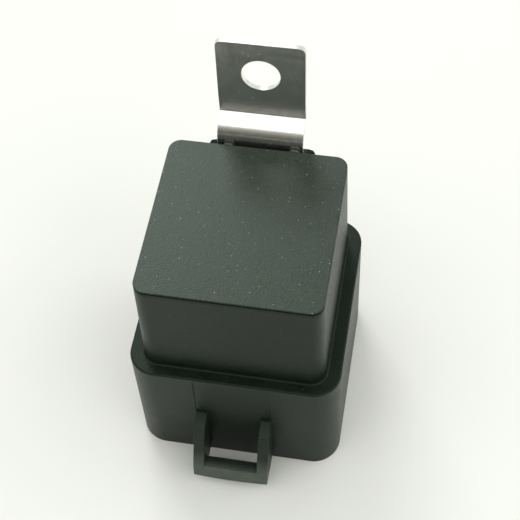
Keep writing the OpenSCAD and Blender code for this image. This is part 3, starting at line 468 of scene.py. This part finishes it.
strap = {
    "wide": 13.0, "thick": 0.8, "bendR": 0.3, "legBendR": 2.1, "legY": 14.4, "legLow": 27.6,
    "ledgeZ": 44.0, "slope": 27.0, "offset": 3.11, "foreLean": 3.0, "band": 3.08, "kinkR": 4.0,
    "lean": 2.5, "plateLen": 11.083, "holeD": 5.7, "holeDown": 5.95, "holeRoom": 4.6,
    "cornerR": 0.9, "edge": 0.05, "runRows": (8, 14, 3, 12, 3, 4), "steps": 20,
    "ringShares": (0, 0.03, 0.2, 0.5, 0.8, 0.96, 1), "tiny": 1e-9, "mergeM": 1e-7}

# Front face of the strap as a path in the (y, z) plane, at distance s along it. Straight runs and
# bends follow one another: leg, bend, ledge, bend, a short upright band, a slight kink, plate.
def strapPath(s):
    c = strap
    slope, kink = radians(c["slope"]), radians(c["foreLean"] + c["lean"])
    outerR = c["legBendR"] + c["thick"]
    turnLow, turnHigh = pi / 2 - slope, pi / 2 - slope + radians(c["foreLean"])
    trimLow = outerR * tan(turnLow / 2)
    trimHigh = c["bendR"] * tan(turnHigh / 2)
    trimKink = c["kinkR"] * tan(kink / 2)
    runs = [c["ledgeZ"] - trimLow - c["legLow"], outerR * turnLow,
            c["offset"] / cos(slope) - trimLow - trimHigh, c["bendR"] * turnHigh,
            c["band"] - trimHigh - trimKink, c["kinkR"] * kink, c["plateLen"] - trimKink]
    y, z = np.full_like(s, c["legY"]), np.full_like(s, c["legLow"])
    angle, begun = pi / 2, 0.0
    for run, turned in zip(runs, (0, -turnLow, 0, turnHigh, 0, -kink, 0)):
        along = np.clip(s - begun, 0, run)
        if turned:
            radius = run / turned
            y = y + radius * (np.sin(angle + along / radius) - sin(angle))
            z = z - radius * (np.cos(angle + along / radius) - cos(angle))
        else:
            y, z = y + along * cos(angle), z + along * sin(angle)
        begun += run
        angle += turned
    return y, z, runs

# Strap of rolled sheet, drawn flat as (x, s) and bent along the path. A plain grid covers the leg
# and the ledge; round the hole the rings run from the circle out to the plate's edge.
def strapBracket():
    c = strap
    half = c["wide"] / 2
    runs = strapPath(np.zeros(1))[2]
    foot, tip = sum(runs[:6]), sum(runs)
    holeAt = tip - c["holeDown"]
    startS = holeAt - c["holeRoom"]
    steps = c["steps"]
    across = np.linspace(-half, half, steps + 1)
    stops = np.cumsum([0] + runs[:6])
    rowsS = np.concatenate([np.linspace(stops[k], stops[k + 1], n + 1)[:-1]
                            for k, n in enumerate(c["runRows"])] + [[foot, startS]])
    sheetX, sheetS = np.meshgrid(across, rowsS, indexing="xy")
    lower = np.column_stack([sheetX.ravel(), sheetS.ravel()])
    up = np.linspace(startS, tip, steps + 1)
    edge = np.concatenate([np.column_stack([across, np.full(steps + 1, startS)])[:-1],
                           np.column_stack([np.full(steps + 1, half), up])[:-1],
                           np.column_stack([across[::-1], np.full(steps + 1, tip)])[:-1],
                           np.column_stack([np.full(steps + 1, -half), up[::-1]])[:-1]])
    heart = np.column_stack([np.sign(edge[:, 0]) * (half - c["cornerR"]),
                             np.full(len(edge), tip - c["cornerR"])])
    out = edge - heart
    inCorner = (out[:, 1] > c["tiny"]) & (out[:, 0] * np.sign(edge[:, 0]) > c["tiny"])
    reach = np.linalg.norm(out, axis=1, keepdims=True)
    edge = np.where(inCorner[:, None], heart + out / np.maximum(reach, c["tiny"]) * c["cornerR"], edge)
    angle = np.arctan2(edge[:, 1] - holeAt, edge[:, 0])
    circle = np.column_stack([c["holeD"] / 2 * np.cos(angle), holeAt + c["holeD"] / 2 * np.sin(angle)])
    shares = np.array(c["ringShares"])[:, None, None]
    rings = circle + (edge - circle) * shares
    flat = np.concatenate([lower, rings.reshape(-1, 2)])
    y, z = strapPath(flat[:, 1])[:2]
    points = np.column_stack([flat[:, 0], y, z])
    faces = np.concatenate([gridFaces(len(rowsS), steps + 1)[:, ::-1],
                            gridFaces(len(shares), len(edge), wrap=True, first=len(lower))])
    piece = meshPiece("strapBracket", points, faces, bracketSteel, sharpDegrees=60)
    work = bmesh.new()
    work.from_mesh(piece.data)
    bmesh.ops.remove_doubles(work, verts=work.verts, dist=c["mergeM"])
    work.to_mesh(piece.data)
    work.free()
    sheet = piece.modifiers.new("sheet", "SOLIDIFY")
    sheet.thickness = c["thick"] * mm
    sheet.offset = -1
    sheet.use_even_offset = True
    roundEdges(piece, c["edge"], segments=2, angle=50)
    return piece

bracket = strapBracket()
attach(bracket, "housing")
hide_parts("mounting_bracket")
print("bracket made")

studio = {
    "floorHalf": 3.0, "floor": "#ecede8", "floorRoughness": 0.8, "floorSheen": 0.2, "fibreMm": 1.5,
    "fibreDeepMm": 0.1, "fibreRelief": 0.02, "aimMm": 30, "roomStrength": 1.12, "wall": "#e0e2de",
    "gap": (0.3, 0.6),
    "room": [(0.0, "#2a2824"), (0.4, "#6c695e"), (0.74, "#b0afa9"), (0.86, "#ffffff")],
    "lamps": [{"at": (-0.47, 0.885, 1.08), "size": 0.5, "watts": 5.7},
              {"at": (0.9, 0.35, 0.7), "size": 0.7, "watts": 1.8},
              {"at": (-0.95, -0.6, 0.9), "size": 0.8, "watts": 0.8},
              {"at": (0.95, -0.6, 0.9), "size": 0.8, "watts": 2.2},
              {"at": (-0.15, -0.5, 1.08), "size": 0.6, "watts": 1.1}]}

# a matte white paper, faintly fibrous, so that it throws no sharp reflection
floorMesh = bpy.data.meshes.new("floor")
far = studio["floorHalf"]
floorMesh.from_pydata([(-far, -far, 0), (far, -far, 0), (far, far, 0), (-far, far, 0)], [], [(0, 1, 2, 3)])
paper, tree, place = newMaterial("matteWhitePaper")
fibre = addNode(tree, "TexNoise", {}, {
    "Vector": place, "Scale": 1 / (studio["fibreMm"] * mm), "Detail": 2.0})
felt = addNode(tree, "Bump", {}, {
    "Height": fibre.outputs["Fac"], "Strength": studio["fibreRelief"],
    "Distance": studio["fibreDeepMm"] * mm})
sheet = addNode(tree, "BsdfPrincipled", {}, {
    "Base Color": linearColour(studio["floor"]), "Roughness": studio["floorRoughness"],
    "Specular IOR Level": studio["floorSheen"], "Normal": felt.outputs[0]})
addNode(tree, "OutputMaterial", {}, {"Surface": sheet.outputs[0]})
floorMesh.materials.append(paper)
floor = bpy.data.objects.new("floor", floorMesh)
bpy.context.scene.collection.objects.link(floor)

# Room: pale walls all round, and straight in front a gap that is dim and warm low down and white
# overhead. Camera, metal and floor all see the same room.
world = bpy.data.worlds.new("softRoom")
bpy.context.scene.world = world
world.use_nodes = True
sky = world.node_tree
sky.nodes.clear()
way = addNode(sky, "TexCoord").outputs["Generated"]
axis = addNode(sky, "SeparateXYZ", {}, {0: way}).outputs
toFront = addNode(sky, "Math", {"operation": "MULTIPLY"}, {0: axis["Y"], 1: -1.0})
turned = addNode(sky, "Math", {"operation": "ARCTAN2"}, {0: axis["X"], 1: toFront.outputs[0]})
aside = addNode(sky, "Math", {"operation": "ABSOLUTE"}, {0: turned.outputs[0]})
share = addNode(sky, "MapRange", {"interpolation_type": "SMOOTHSTEP"}, {
    "Value": aside.outputs[0], "From Min": studio["gap"][0], "From Max": studio["gap"][1]})
ramp = addNode(sky, "ValToRGB", {}, {"Fac": axis["Z"]})
for spot, (at, tone) in enumerate(studio["room"]):
    stop = ramp.color_ramp.elements[spot] if spot < 2 else ramp.color_ramp.elements.new(at)
    stop.position, stop.color = at, linearColour(tone)
roomTone = addNode(sky, "Mix", {"data_type": "RGBA"}, {
    0: share.outputs[0], 6: ramp.outputs[0], 7: linearColour(studio["wall"])})
roomLight = addNode(sky, "Background", {}, {
    "Color": roomTone.outputs[2], "Strength": studio["roomStrength"]})
addNode(sky, "OutputWorld", {}, {"Surface": roomLight.outputs[0]})

# square soft boxes, all aimed at the relay's middle
middle = Vector((0, 0, studio["aimMm"] * mm))
for number, lamp in enumerate(studio["lamps"]):
    light = bpy.data.lights.new(f"softbox{number}", "AREA")
    light.size = lamp["size"]
    light.energy = lamp["watts"]
    holder = bpy.data.objects.new(f"softbox{number}", light)
    holder.location = lamp["at"]
    holder.rotation_euler = (middle - holder.location).to_track_quat("-Z", "Y").to_euler()
    bpy.context.scene.collection.objects.link(holder)

# camera: turned about the upright, tilted down and rolled; the places are in millimetres
view = {"azimuth": 12.662, "elevation": 56.13, "roll": -3.618, "distance": 183.487,
        "target": (1.706, 1.896, 30.0), "lens": 83.52, "sensor": 36.0, "clip": (0.01, 20)}
a, e, r = (radians(view[k]) for k in ("azimuth", "elevation", "roll"))
back = Vector((sin(a) * cos(e), -cos(a) * cos(e), sin(e)))
right = Vector((cos(a), sin(a), 0))
up = back.cross(right)
axes = (right * cos(r) + up * sin(r), up * cos(r) - right * sin(r), back)
camera = bpy.data.objects.new("camera", bpy.data.cameras.new("camera"))
camera.data.lens = view["lens"]
camera.data.sensor_width = view["sensor"]
camera.data.clip_start, camera.data.clip_end = view["clip"]
stand = (Vector(view["target"]) + back * view["distance"]) * mm
camera.matrix_world = Matrix.Translation(stand) @ Matrix(axes).transposed().to_4x4()
bpy.context.scene.collection.objects.link(camera)
bpy.context.scene.camera = camera
bpy.context.scene.view_settings.view_transform = "Standard"

print("stage made")
